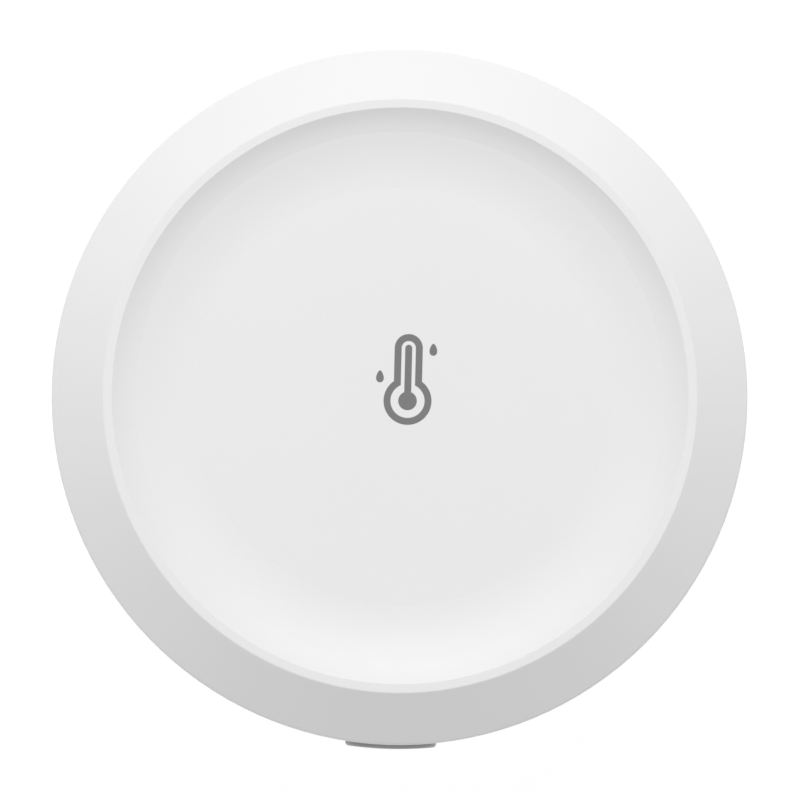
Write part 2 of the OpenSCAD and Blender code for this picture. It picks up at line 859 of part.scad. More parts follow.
// Conical spring: one wire wound from the plate at +X in towards the cell
spring_base_r = window_w / 2 - bury - wire_d / 2;
spring_from = pocket_x - slot_t + touch / 2 - wire_d / 2;
spring_to = pocket_x - slot_t - spring_len + dimple_h + touch / 2 + wire_d / 2;
curl_rings = 8;
wire_sides = 6;
spring_rings = spring_turns * curl_rings;
function spring_at(t) =
    let (r = spring_base_r + (spring_tip_r - spring_base_r) * t, a = 360 * spring_turns * t)
    [spring_from + (spring_to - spring_from) * t, r * cos(a), r * sin(a)];
function spring_path() = [for (i = [0:spring_rings]) spring_at(i / spring_rings)];
function spring_gap(path) =
    let (steps = [for (i = [0:spring_rings], j = [i + curl_rings - 2:1:spring_rings]) path[i] - path[j]])
    min([for (step = steps) norm(step)]) - wire_d;
function wire_ring(path, i) =
    let (last = len(path) - 1)
    let (along = unit(path[min(i + 1, last)] - path[max(i - 1, 0)]))
    let (out = unit(cross(along, [1, 0, 0])), up = cross(along, out))
    [for (k = [0:wire_sides - 1])
        path[i] + wire_d / 2 * (cos(360 * k / wire_sides) * out + sin(360 * k / wire_sides) * up)];

module wire(path) {
    last = len(path) - 1;
    function at(i, k) = i * wire_sides + k % wire_sides;
    polyhedron(
        points = [for (i = [0:last]) each wire_ring(path, i)],
        faces = concat(
            [for (k = [1:wire_sides - 2]) [at(0, 0), at(0, k), at(0, k + 1)]],
            [for (i = [0:last - 1], k = [0:wire_sides - 1]) each [
                [at(i, k), at(i + 1, k), at(i + 1, k + 1)],
                [at(i, k), at(i + 1, k + 1), at(i, k + 1)]
            ]],
            [for (k = [1:wire_sides - 2]) [at(last, 0), at(last, k + 1), at(last, k)]]
        )
    );
}

module negative_spring() {
    color(steel) translate([0, -cell_y, cell_z]) wire(spring_path());
}

module bridge_spring() {
    color(steel) translate([0, cell_y, cell_z]) mirror([1, 0, 0]) wire(spring_path());
}

echo(spring_least_gap = spring_gap(spring_path()));

// Pan-head screws that clamp the tray and the board to the shell
module tray_screws() {
    drive_w = 0.5;
    drive_depth = 0.6;
    color(steel)
    at_bosses()
    difference() {
        union() {
            translate([0, 0, roof_z - head_h]) cylinder(d = head_d, h = head_h);
            translate([0, 0, roof_z - eps]) cylinder(d = screw_d, h = screw_len);
        }
        for (a = [0, 90])
            rotate([0, 0, a])
                translate([-head_d / 3, -drive_w / 2, roof_z - head_h - past])
                    cube([head_d * 2 / 3, drive_w, drive_depth + past]);
    }
}

back_cover();
front_shell();
battery_tray();
main_board();
radio_module();
radio_shield();
humidity_sensor();
signal_light();
buffer_capacitor();
chip_resistors();
chip_capacitors();
switch_body();
switch_frame();
switch_plunger();
reset_button();
upper_cell();
lower_cell();
positive_contact();
negative_contact();
bridge_contact();
negative_spring();
bridge_spring();
tray_screws();
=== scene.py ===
# %% [markdown]
# # A round temperature and humidity sensor
# The real object is a white moulded puck, 62 mm across, with a shallow dished face and a grey button in its
# side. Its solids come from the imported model, which is already in metres and already in place. This lesson
# dresses them: it sets up a small studio, gives each piece its finish, and makes the pieces that look better
# as meshes, such as wound springs, screws with threads and the printed sign.

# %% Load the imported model
import json
import math

import bmesh
import bpy
from mathutils import Matrix, Vector


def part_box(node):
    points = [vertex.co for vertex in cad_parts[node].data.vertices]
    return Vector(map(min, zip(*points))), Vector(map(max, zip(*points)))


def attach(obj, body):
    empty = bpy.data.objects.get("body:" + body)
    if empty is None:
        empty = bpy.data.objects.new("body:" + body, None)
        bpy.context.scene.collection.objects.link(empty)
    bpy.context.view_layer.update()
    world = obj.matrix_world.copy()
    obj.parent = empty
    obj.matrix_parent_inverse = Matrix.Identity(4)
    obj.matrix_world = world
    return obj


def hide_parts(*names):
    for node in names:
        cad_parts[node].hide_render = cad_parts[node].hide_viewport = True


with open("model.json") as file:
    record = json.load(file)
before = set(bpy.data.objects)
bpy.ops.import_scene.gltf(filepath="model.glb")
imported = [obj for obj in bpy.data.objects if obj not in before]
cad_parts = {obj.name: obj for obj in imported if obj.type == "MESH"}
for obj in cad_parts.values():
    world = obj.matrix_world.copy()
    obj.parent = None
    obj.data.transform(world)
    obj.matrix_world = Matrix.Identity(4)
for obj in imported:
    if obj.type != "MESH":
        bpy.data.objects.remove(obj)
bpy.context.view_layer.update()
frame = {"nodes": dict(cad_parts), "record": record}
nodes = frame["nodes"]
scene = bpy.context.scene
MM = 0.001
TURN = 2 * math.pi


# %% [markdown]
# ## Measuring the frame
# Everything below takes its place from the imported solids, so nothing has to be fitted by eye. A solid's box
# gives its ends, a ray dropped onto it gives the height of a surface, and the shell's widest point gives the
# rim, which is the circle that the photograph shows as the outline.

# %% Measure the solids
def middle_of(name):
    low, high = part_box(name)
    return (low + high) / 2


def drop_onto(name, x, y):
    """Height at which a line down through (x, y) first meets a solid."""
    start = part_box(name)[1].z + MM
    hit, point = nodes[name].ray_cast((x, y, start), (0, 0, -1))[:2]
    if not hit:
        raise ValueError(f"no surface of {name} under {x}, {y}")
    return point.z


rim_point = max((v.co for v in nodes["front_shell"].data.vertices), key=lambda co: co.xy.length)
RIM_R = rim_point.xy.length
RIM_Z = rim_point.z
FACE_Z = drop_onto("front_shell", 0, 0)
print(f"rim radius {RIM_R / MM:.2f} mm at {RIM_Z / MM:.2f} mm, dished face at {FACE_Z / MM:.2f} mm")


# %% [markdown]
# ## The camera
# The photograph looks almost straight down onto the face from far away: the rim, the lip and the dish are
# nearly concentric circles. They aren't quite, so the lens leans a little towards the button, which is why
# the button shows as a thin strip under the rim. A long lens from 1.4 m keeps the circles round.

# %% Camera
IMAGE_PX = 800
RIM_WIDTH_PX = 695.9
RIM_CENTRE_PX = (399.65, 397.06)
LEAN_TO_BUTTON = math.radians(1.7)
LEAN_TO_SIDE = math.radians(0.6)
ROLL = math.radians(1.4)
LENS_AWAY = 1.4

pixel = 2 * RIM_R / RIM_WIDTH_PX
towards_lens = Vector((-math.sin(LEAN_TO_SIDE), -math.sin(LEAN_TO_BUTTON), 1)).normalized()
picture_right = Vector((0, 1, 0)).cross(towards_lens).normalized()
picture_up = towards_lens.cross(picture_right)
stance = Matrix((picture_right, picture_up, towards_lens)).transposed().to_4x4()
stance = stance @ Matrix.Rotation(ROLL, 4, "Z")
off_centre = Vector((IMAGE_PX / 2 - RIM_CENTRE_PX[0], RIM_CENTRE_PX[1] - IMAGE_PX / 2, 0)) * pixel
aim = Vector((0, 0, RIM_Z)) + stance.to_3x3() @ off_centre

camera = bpy.data.objects.new("camera", bpy.data.cameras.new("camera"))
scene.collection.objects.link(camera)
scene.camera = camera
camera.matrix_world = Matrix.Translation(aim + towards_lens * LENS_AWAY) @ stance
camera.data.lens = camera.data.sensor_width * LENS_AWAY / (IMAGE_PX * pixel)
print(f"lens {camera.data.lens:.0f} mm, {pixel / MM:.4f} mm a pixel")


# %% [markdown]
# ## Writing shaders as sums
# A finish is a tree of small nodes, and a tree is hard to read as a list of links. So one small class wraps
# an output socket: adding or multiplying two of them adds the Math node that does it, and `node` makes any
# other node from its type, its settings and what goes into its sockets. The same class builds the Geometry
# Nodes trees further down.

# %% A socket that can be added and multiplied
class Socket:
    """An output socket of a node tree."""

    def __init__(self, tree, output=None):
        self.tree = tree
        self.output = output

    def node(self, kind, settings=None, inputs=None, output=0):
        made = self.tree.nodes.new(kind)
        for name, value in (settings or {}).items():
            setattr(made, name, value)
        for name, value in (inputs or {}).items():
            if isinstance(value, (Socket, list)):
                for source in value if isinstance(value, list) else [value]:
                    self.tree.links.new(source.output, made.inputs[name])
            else:
                made.inputs[name].default_value = value
        return Socket(self.tree, made.outputs[output])

    def math(self, operation, *terms):
        return self.node("ShaderNodeMath", {"operation": operation}, dict(enumerate(terms)))

    def __add__(self, other):
        return self.math("ADD", self, other)

    def __mul__(self, other):
        return self.math("MULTIPLY", self, other)

    def __sub__(self, other):
        return self.math("SUBTRACT", self, other)

    def __rsub__(self, other):
        return self.math("SUBTRACT", other, self)

    def __truediv__(self, other):
        return self.math("DIVIDE", self, other)

    __radd__ = __add__
    __rmul__ = __mul__


def ease(value, low, high):
    """Runs smoothly from 0 at low to 1 at high."""
    settings = {"interpolation_type": "SMOOTHSTEP"}
    return value.node("ShaderNodeMapRange", settings, {0: value, 1: low, 2: high})


def blend_colours(mask, first, second):
    return mask.node("ShaderNodeMix", {"data_type": "RGBA"}, {0: mask, 6: first, 7: second}, 2)


print("a Socket knows +, -, * and /")


# %% [markdown]
# ## Starting a finish
# Each finish is one Principled shader. What is the same all over the surface is set on the shader's own
# sockets, and only what really changes from point to point is linked. The place on the piece is read in
# millimetres, so a grain of 0.2 mm is written as 0.2.

# %% Helpers for a finish
class Finish:
    """A material with one Principled shader."""

    def __init__(self, name, **constants):
        self.material = bpy.data.materials.new(name)
        self.material.use_nodes = True
        self.tree = self.material.node_tree
        self.shader = self.tree.nodes["Principled BSDF"]
        for socket, value in constants.items():
            self.shader.inputs[socket.replace("_", " ")].default_value = value
        coords = Socket(self.tree).node("ShaderNodeTexCoord", output="Object")
        scale = {"operation": "SCALE"}
        self.place = coords.node("ShaderNodeVectorMath", scale, {0: coords, "Scale": 1 / MM})

    def link(self, socket, value):
        self.tree.links.new(value.output, self.shader.inputs[socket])

    def axis(self, letter):
        return self.place.node("ShaderNodeSeparateXYZ", None, {0: self.place}, letter)

    def stretched(self, factors):
        """The place on the piece, times a factor along each axis."""
        sockets = {0: self.place, 1: factors}
        return self.place.node("ShaderNodeVectorMath", {"operation": "MULTIPLY"}, sockets)

    def grain(self, size, detail=2.0, stretch=(1, 1, 1)):
        """Soft noise from 0 to 1 whose lumps are about size millimetres wide."""
        spot = self.stretched(stretch)
        sockets = {"Vector": spot, "Scale": 1 / size, "Detail": detail}
        return spot.node("ShaderNodeTexNoise", None, sockets)

    def radius(self):
        """Distance from the object's upright axis."""
        flat = self.stretched((1, 1, 0))
        return flat.node("ShaderNodeVectorMath", {"operation": "LENGTH"}, {0: flat}, "Value")

    def emboss(self, height, depth):
        """Bump whose full height stands depth millimetres out."""
        sockets = {"Strength": 1.0, "Distance": depth * MM, "Height": height}
        self.link("Normal", height.node("ShaderNodeBump", None, sockets))


def paint(name, finish):
    """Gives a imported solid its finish."""
    solid = nodes[name]
    if not solid.material_slots:
        solid.data.materials.append(None)
    for part in solid.material_slots:
        part.material = finish.material


def grey(level):
    return (level, level, level, 1.0)


print("finishes start from object coordinates in millimetres")


# %% [markdown]
# ## The studio
# The sensor was photographed on bright white with one broad soft light from the top of the picture: the
# slope of the rim is brightest there and darkest above the button, and the dish shows the same the other
# way round. A pale world fills the shadows, and the floor glows a little like a lit table, so that it stays
# white under the object. The floor is one-sided, so that the back can be looked at from below. It is a web of
# rings that double outwards, because one huge glowing face so close to the back would light it in patches.

# %% World and floor
WORLD_LEVEL = 0.41
FLOOR_GLOW = 0.94
FLOOR_TONE = 0.12
FLOOR_RINGS = [4 * MM * 2**step for step in range(12)]
FLOOR_SPOKES = 32
FLOOR_DROP = 0.02 * MM

scene.view_settings.view_transform = "Standard"
scene.world = bpy.data.worlds.new("studio")
scene.world.use_nodes = True
backdrop = scene.world.node_tree.nodes["Background"]
backdrop.inputs["Color"].default_value = grey(1.0)
backdrop.inputs["Strength"].default_value = WORLD_LEVEL

table_mesh = bpy.data.meshes.new("floor")
spokes = [TURN * i / FLOOR_SPOKES for i in range(FLOOR_SPOKES)]
web = [(r * math.cos(a), r * math.sin(a), -FLOOR_DROP) for r in FLOOR_RINGS for a in spokes]
panes = [tuple(range(FLOOR_SPOKES))]
for inner in range(0, len(web) - FLOOR_SPOKES, FLOOR_SPOKES):
    outer = inner + FLOOR_SPOKES
    for i in range(FLOOR_SPOKES):
        j = (i + 1) % FLOOR_SPOKES
        panes.append((inner + i, outer + i, outer + j, inner + j))
table_mesh.from_pydata(web, [], panes)
floor = bpy.data.objects.new("floor", table_mesh)
scene.collection.objects.link(floor)

lit_table = Finish("lit_table", Base_Color=grey(FLOOR_TONE), Roughness=0.9, Specular_IOR_Level=0.0)
lit_table.shader.inputs["Emission Color"].default_value = grey(1.0)
lit_table.shader.inputs["Emission Strength"].default_value = FLOOR_GLOW
behind = Socket(lit_table.tree).node("ShaderNodeNewGeometry", output="Backfacing")
clear = behind.node("ShaderNodeBsdfTransparent")
one_sided = behind.node(
    "ShaderNodeMixShader",
    None,
    {0: behind, 1: Socket(lit_table.tree, lit_table.shader.outputs[0]), 2: clear},
)
lit_table.tree.links.new(one_sided.output, lit_table.tree.nodes["Material Output"].inputs["Surface"])
table_mesh.materials.append(lit_table.material)
print("floor panes:", len(panes))


# %% Key light
KEY_HEIGHT = math.radians(60)
KEY_TURN = math.radians(4)
KEY_AWAY = 1.1
KEY_SIZE = 0.5
KEY_WATTS = 7.6

key = bpy.data.objects.new("key_light", bpy.data.lights.new("key_light", "AREA"))
scene.collection.objects.link(key)
key.data.shape = "DISK"
key.data.size = KEY_SIZE
key.data.energy = KEY_WATTS
key_way = Vector((0, math.cos(KEY_HEIGHT), math.sin(KEY_HEIGHT)))
key.location = Matrix.Rotation(KEY_TURN, 3, "Z") @ key_way * KEY_AWAY
key.rotation_euler = key.location.to_track_quat("Z", "Y").to_euler()
print("key light at", [round(value, 2) for value in key.location])


# %% [markdown]
# ## The white housing
# The housing is moulded in white plastic with a fine satin texture, as spark erosion leaves it in a mould.
# The texture is far too fine to model, so it is a bump with a grain of about a tenth of a millimetre. The
# plastic's tone drifts slightly, and the rim, which hands touch, is a little smoother.

# %% White moulded plastic
HANDLED = 1.2


def white_moulding():
    finish = Finish("white_moulding", IOR=1.46)
    drift = finish.grain(14.0, 3.0)
    speck = finish.grain(0.35, 2.0)
    tone = 0.6 * drift + 0.4 * speck
    finish.link("Base Color", blend_colours(tone, grey(0.835), grey(0.865)))
    outermost = ease(finish.radius(), RIM_R / MM - HANDLED, RIM_R / MM)
    handled = outermost * ease(finish.axis("Z"), RIM_Z / MM - HANDLED, RIM_Z / MM)
    finish.link("Roughness", 0.46 + 0.1 * finish.grain(3.0) - 0.08 * handled)
    finish.emboss(finish.grain(0.12, 1.0), 0.004)
    return finish


housing = white_moulding()
for name in ("front_shell", "back_cover"):
    paint(name, housing)
print("white plastic on the shell and the back cover")


# %% [markdown]
# ## The printed sign
# A small grey thermometer with two drops is printed on the face. It is ink, so it is thin, but it has an
# edge that catches light, and so it is a mesh 0.02 mm thick and not a picture. Its outlines are straight
# lines and arcs, and a flat curve fills them, holes included.

# %% Outlines of the sign
SIGN_AT = (0.68 * MM, -0.39 * MM)
BULB_R = 2.13 * MM
BULB_HOLE_R = 1.52 * MM
TUBE_HALF = 1.247 * MM
TUBE_HOLE_HALF = 0.635 * MM
TUBE_TOP = 4.69 * MM
LIQUID_R = 0.825 * MM
LIQUID_HALF = 0.307 * MM
LIQUID_TOP = 4.68 * MM
DROPS_AT = ((-2.5 * MM, 2.12 * MM), (2.19 * MM, 4.6 * MM))
DROP_W = 0.65 * MM
DROP_H = 1.06 * MM
DROP_TAPER = 0.33
BULB_STEPS = 64
TUBE_STEPS = 32


def arc(centre, radius, start, end, steps):
    """Points along an arc; the angles are in degrees."""
    angles = [math.radians(start + (end - start) * i / steps) for i in range(steps + 1)]
    return [(centre[0] + radius * math.cos(a), centre[1] + radius * math.sin(a)) for a in angles]


def ring_of(radius, steps=48):
    """Points of a full circle."""
    return arc((0, 0), radius, 0, 360, steps)[:-1]


def thermometer(bulb, half, top):
    """A round bulb with a round-ended tube standing on it."""
    neck = math.degrees(math.acos(half / bulb))
    around = arc((0, 0), bulb, 180 - neck, 360 + neck, BULB_STEPS)
    return around + arc((0, top), half, 0, 180, TUBE_STEPS)


def drop():
    """A drop: a circle that is stretched upwards and narrows towards its tip."""
    return [(x * (1 - DROP_TAPER * y) * DROP_W / 2, y * DROP_H / 2) for x, y in ring_of(1)]


sign_outlines = [
    thermometer(BULB_R, TUBE_HALF, TUBE_TOP),
    thermometer(BULB_HOLE_R, TUBE_HOLE_HALF, TUBE_TOP),
    thermometer(LIQUID_R, LIQUID_HALF, LIQUID_TOP),
]
for x, y in DROPS_AT:
    sign_outlines.append([(x + px, y + py) for px, py in drop()])
print("sign outlines:", len(sign_outlines))


# %% Helpers for added pieces
SHARP = math.radians(35)
ONE_POINT = 1e-7


def settle(mesh):
    """Merges doubles, turns faces outwards and shades smoothly between sharp edges."""
    work = bmesh.new()
    work.from_mesh(mesh)
    bmesh.ops.remove_doubles(work, verts=work.verts, dist=ONE_POINT)
    bmesh.ops.recalc_face_normals(work, faces=work.faces)
    for edge in work.edges:
        edge.smooth = len(edge.link_faces) == 2 and edge.calc_face_angle() < SHARP
    for face in work.faces:
        face.smooth = True
    work.to_mesh(mesh)
    work.free()


def add_piece(name, mesh, finish, body, stands_for=()):
    """Shows a finished mesh, and hangs it on the body that carries it."""
    piece = bpy.data.objects.new(name, mesh)
    scene.collection.objects.link(piece)
    if finish:
        mesh.materials.clear()
        mesh.materials.append(finish.material)
    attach(piece, body)
    if stands_for:
        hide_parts(*stands_for)


def printed_mesh(outlines, thickness, place):
    """A thin plate with the given outlines, holes included, moved to its place."""
    curve = bpy.data.curves.new("print", "CURVE")
    curve.dimensions = "2D"
    curve.fill_mode = "BOTH"
    curve.extrude = thickness / 2
    for points in outlines:
        spline = curve.splines.new("POLY")
        spline.points.add(len(points) - 1)
        for point, (x, y) in zip(spline.points, points):
            point.co = (x, y, 0, 1)
        spline.use_cyclic_u = True
    carrier = bpy.data.objects.new("print", curve)
    scene.collection.objects.link(carrier)
    depsgraph = bpy.context.evaluated_depsgraph_get()
    mesh = bpy.data.meshes.new_from_object(carrier.evaluated_get(depsgraph))
    bpy.data.objects.remove(carrier)
    mesh.transform(Matrix.Translation(place))
    settle(mesh)
    return mesh


print(f"edges over {math.degrees(SHARP):.0f} degrees stay sharp")


# %% Print the sign on the face
INK_T = 0.02 * MM

ink = Finish("sign_ink", Specular_IOR_Level=0.3)
ink.link("Base Color", blend_colours(ink.grain(0.25, 3.0), grey(0.19), grey(0.22)))
ink.link("Roughness", 0.5 + 0.15 * ink.grain(0.4))
ink.emboss(ink.grain(0.08), 0.002)
sign_mesh = printed_mesh(sign_outlines, INK_T, Vector((*SIGN_AT, FACE_Z + INK_T / 2)))
add_piece("printed_sign", sign_mesh, ink, "body")
print("sign faces:", len(sign_mesh.polygons))


# %% [markdown]
# ## The other plastics
# The button is grey satin plastic, the battery tray plain white, the switch's plunger ivory, and the small
# packages on the board are black. They differ in colour and gloss but not in kind: each has a tone that
# drifts a little, as pigment does in the melt, and the fine texture of its mould. So one function makes all.

# %% Moulded plastics
def moulded(name, first, second, roughness, texture=0.12, depth=0.003):
    """Plastic whose tone drifts between two colours, with a fine mould texture."""
    finish = Finish(name, IOR=1.5)
    tone = 0.65 * finish.grain(4.0, 3.0) + 0.35 * finish.grain(0.3)
    finish.link("Base Color", blend_colours(tone, first, second))
    finish.link("Roughness", roughness - 0.05 + 0.1 * finish.grain(1.5))
    finish.emboss(finish.grain(texture, 1.0), depth)
    return finish


button_satin = moulded("button_satin", grey(0.40), grey(0.44), 0.45)
tray_white = moulded("tray_white", (0.70, 0.70, 0.68, 1), (0.78, 0.78, 0.76, 1), 0.5, 0.2)
plunger_ivory = moulded("plunger_ivory", (0.68, 0.63, 0.50, 1), (0.76, 0.71, 0.58, 1), 0.4)
package_black = moulded("package_black", grey(0.016), grey(0.03), 0.55, 0.06, 0.004)
paint("reset_button", button_satin)
paint("battery_tray", tray_white)
paint("switch_plunger", plunger_ivory)
for name in ("switch_body", "humidity_sensor"):
    paint(name, package_black)
print("four more plastics")


# %% [markdown]
# ## Metals
# The contacts, springs, screws, shield and switch frame are nickel-plated steel: bright, with faint rolling
# streaks. Solder is duller and lumpier, and the module's bare aerial is thinly gilded. A metal is the same
# shader with Metallic at 1, and its look comes from how the roughness varies.

# %% Plated steel, solder and gilt
def metal(name, first, second, roughness, streak):
    """Metal whose gloss varies along streaks; streak stretches the grain along the axes."""
    finish = Finish(name, Metallic=1.0)
    cloud = finish.grain(0.8, 4.0)
    line = finish.grain(0.12, 3.0, streak)
    finish.link("Base Color", blend_colours(cloud, first, second))
    finish.link("Roughness", roughness - 0.08 + 0.1 * line + 0.08 * cloud)
    finish.emboss(line, 0.002)
    return finish


plated_steel = metal("plated_steel", (0.62, 0.61, 0.58, 1), (0.74, 0.73, 0.70, 1), 0.28, (0.3, 1, 0.12))
solder = metal("solder", (0.55, 0.56, 0.58, 1), (0.70, 0.71, 0.72, 1), 0.34, (1, 1, 1))
gilt = metal("gilt", (0.80, 0.58, 0.22, 1), (0.88, 0.68, 0.32, 1), 0.30, (1, 1, 1))
for name in ("switch_frame", "positive_contact", "negative_contact", "bridge_contact"):
    paint(name, plated_steel)
print("plated steel, solder and gilt")


# %% [markdown]
# ## Board and chips
# A board is glass cloth in resin. A mask, green on the main board and dark blue on the module, covers its two
# faces, thin enough for the cloth to show as a faint weave, and its cut edges are bare and tan. A chip
# resistor is white ceramic with a black glaze on top, and the light is a pale package with yellow resin on
# top. Which is which depends only on the height, so the finishes read the Z of the point.

# %% Boards
CUT_EDGE = 0.06
WEAVE = 0.55


def laminate(name, node, first, second):
    """Mask on both faces of a board, bare glass cloth on its cut edges."""
    low, high = (corner.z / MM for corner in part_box(node))
    finish = Finish(name, IOR=1.5)
    height = finish.axis("Z")
    off_back = ease(height, low + CUT_EDGE / 2, low + CUT_EDGE)
    cut = off_back * ease(height, high - CUT_EDGE / 2, high - CUT_EDGE)
    warp = height.math("SINE", finish.axis("X") * (TURN / WEAVE))
    weft = height.math("SINE", finish.axis("Y") * (TURN / WEAVE))
    weave = 0.5 + 0.5 * warp * weft
    mask = blend_colours(0.7 * finish.grain(5.0, 3.0) + 0.3 * weave, first, second)
    strands = finish.grain(0.15, 3.0, (1, 1, 5))
    cloth = blend_colours(strands, (0.36, 0.30, 0.14, 1), (0.52, 0.46, 0.26, 1))
    finish.link("Base Color", blend_colours(cut, mask, cloth))
    finish.link("Roughness", 0.28 + 0.1 * finish.grain(1.0) + 0.4 * cut)
    finish.emboss(weave, 0.004)
    return finish


board_mask = laminate("board_mask", "main_board", (0.012, 0.11, 0.045, 1), (0.02, 0.16, 0.07, 1))
module_mask = laminate("module_mask", "radio_module", (0.012, 0.03, 0.05, 1), (0.02, 0.05, 0.08, 1))
paint("main_board", board_mask)
paint("radio_module", module_mask)
print("two boards")


# %% Chips and light
SOFT_EDGE = 0.8


def topped(name, node, body, top, depth, roughness):
    """Small part whose top layer, depth millimetres thick, has another colour."""
    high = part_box(node)[1].z / MM
    finish = Finish(name, IOR=1.5)
    layer = ease(finish.axis("Z"), high - depth, high - SOFT_EDGE * depth)
    worn = 0.85 + 0.3 * finish.grain(0.3, 3.0)
    colour = blend_colours(layer, body, top)
    dim = colour.node("ShaderNodeVectorMath", {"operation": "SCALE"}, {0: colour, "Scale": worn})
    finish.link("Base Color", dim)
    finish.link("Roughness", roughness + 0.15 * finish.grain(0.4))
    finish.emboss(finish.grain(0.08, 1.0), 0.003)
    return finish


glazed = topped("glazed_chip", "chip_resistors", grey(0.72), grey(0.02), 0.1, 0.3)
ceramic = topped("ceramic_chip", "chip_capacitors", (0.40, 0.29, 0.17, 1), (0.43, 0.31, 0.19, 1), 0.2, 0.45)
resin = topped("cast_resin", "signal_light", (0.80, 0.78, 0.70, 1), (0.86, 0.80, 0.42, 1), 0.5, 0.12)
paint("chip_resistors", glazed)
paint("chip_capacitors", ceramic)
paint("signal_light", resin)
print("two kinds of chip and the light")


# %% [markdown]
# ## The cells
# Two plain cells lie in the tray. A jacket of lacquered foil wraps the can and folds over both rims, and
# the ends inside the fold are bare steel. The distance from the cell's own axis tells steel from jacket,
# and the distance from its flat end places the coloured band near the plus pole.

# %% Jackets of the cells
FOLD_R = 4.3
FOLD_EDGE = 0.08
BAND_FROM = 31.0
BAND_LINE = 0.5
PRINT_EDGE = 0.05


def cell_finish(name, plus_way):
    low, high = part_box(name)
    axis = middle_of(name) / MM
    finish = Finish(name + "_jacket", IOR=1.5, Coat_Weight=0.25)
    across = finish.axis("Y") - axis.y
    upright = finish.axis("Z") - axis.z
    out = across.math("SQRT", across * across + upright * upright)
    steel = 1 - ease(out, FOLD_R, FOLD_R + FOLD_EDGE)
    flat_end = (low.x if plus_way > 0 else high.x) / MM
    along = plus_way * (finish.axis("X") - flat_end)
    band = ease(along, BAND_FROM, BAND_FROM + PRINT_EDGE)
    line = ease(along, BAND_FROM - BAND_LINE, BAND_FROM - BAND_LINE + PRINT_EDGE) - band
    foil = blend_colours(finish.grain(6.0, 3.0), (0.50, 0.52, 0.53, 1), (0.58, 0.60, 0.61, 1))
    jacket = blend_colours(band, foil, (0.03, 0.16, 0.14, 1))
    jacket = blend_colours(line, jacket, grey(0.85))
    bare = blend_colours(finish.grain(0.8, 3.0), (0.60, 0.59, 0.57, 1), (0.72, 0.71, 0.69, 1))
    finish.link("Base Color", blend_colours(steel, jacket, bare))
    finish.link("Metallic", steel)
    finish.link("Roughness", 0.3 + 0.12 * finish.grain(1.2, 3.0))
    finish.emboss(finish.grain(0.6, 2.0), 0.004)
    return finish


paint("upper_cell", cell_finish("upper_cell", 1))
paint("lower_cell", cell_finish("lower_cell", -1))
print(f"cells banded from {BAND_FROM} mm")


# %% [markdown]
# ## The capacitor
# The largest piece beside the module is a capacitor cast in yellow epoxy. A brown stripe marks its plus end,
# and it is printed, so it is part of the finish: the distance from that end tells stripe from epoxy.

# %% The yellow capacitor
STRIPE_W = 0.75

yellow = Finish("yellow_epoxy", IOR=1.5)
stripe_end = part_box("buffer_capacitor")[0].x / MM + STRIPE_W
stripe = 1 - ease(yellow.axis("X"), stripe_end, stripe_end + PRINT_EDGE)
epoxy = blend_colours(yellow.grain(1.0, 3.0), (0.72, 0.42, 0.05, 1), (0.80, 0.50, 0.09, 1))
yellow.link("Base Color", blend_colours(stripe, epoxy, (0.30, 0.12, 0.02, 1)))
yellow.link("Roughness", 0.42 + 0.12 * yellow.grain(0.4))
yellow.emboss(yellow.grain(0.1, 1.0), 0.004)
paint("buffer_capacitor", yellow)
print(f"stripe up to x = {stripe_end:.2f} mm")


# %% [markdown]
# ## Growing pieces with Geometry Nodes
# Springs, screws, solder and tracks repeat or follow a path, so each comes from a small Geometry Nodes tree
# with named sizes. The tree starts from a seed mesh, ends in Realize Instances and Set Material, and is then
# turned into a plain mesh. A modifier knows its inputs by identifier, so the sizes are set that way, before
# the tree first runs.

# %% Start, end and run a tree
BEVEL_STEPS = 2


def start_tree(name, sizes):
    """A tree with a seed and one input per size; gives the tree and its input sockets by name."""
    tree = bpy.data.node_groups.new(name, "GeometryNodeTree")
    tree.interface.new_socket("Seed", in_out="INPUT", socket_type="NodeSocketGeometry")
    for label, value in sizes.items():
        kind = "NodeSocketInt" if isinstance(value, int) else "NodeSocketFloat"
        tree.interface.new_socket(label, in_out="INPUT", socket_type=kind)
    tree.interface.new_socket("Result", in_out="OUTPUT", socket_type="NodeSocketGeometry")
    entry = tree.nodes.new("NodeGroupInput")
    return tree, {socket.name: Socket(tree, socket) for socket in entry.outputs if socket.name}


def end_tree(last, finish):
    real = last.node("GeometryNodeRealizeInstances", None, {0: last})
    coated = real.node("GeometryNodeSetMaterial", None, {"Geometry": real, "Material": finish.material})
    leave = last.tree.nodes.new("NodeGroupOutput")
    last.tree.links.new(coated.output, leave.inputs[0])


def seed_mesh(points, edges=()):
    mesh = bpy.data.meshes.new("seed")
    mesh.from_pydata(points, edges, [])
    return mesh


def grow(tree, sizes, seed, bevel=0.0):
    """Runs a tree on a seed mesh, and gives the result as a plain mesh."""
    carrier = bpy.data.objects.new("carrier", seed)
    scene.collection.objects.link(carrier)
    modifier = carrier.modifiers.new("tree", "NODES")
    modifier.node_group = tree
    for item in tree.interface.items_tree:
        if item.in_out == "INPUT" and item.name in sizes:
            modifier[item.identifier] = sizes[item.name]
    if bevel:
        soften = carrier.modifiers.new("soften", "BEVEL")
        soften.width = bevel
        soften.segments = BEVEL_STEPS
    depsgraph = bpy.context.evaluated_depsgraph_get()
    mesh = bpy.data.meshes.new_from_object(carrier.evaluated_get(depsgraph))
    bpy.data.objects.remove(carrier)
    settle(mesh)
    return mesh


print("a tree starts from a seed and ends as a mesh")


# %% [markdown]
# ## Steps that the trees share
# Most of these pieces need the same few steps: carry an outline along a path, put points where a formula
# says, set copies on points, or cut a shape away. Each is a node or two, so a function makes them, and a
# tree can then be read as a short list of steps.

# %% Helpers for trees
def combine(tree_socket, x=0.0, y=0.0, z=0.0):
    return tree_socket.node("ShaderNodeCombineXYZ", None, {0: x, 1: y, 2: z})


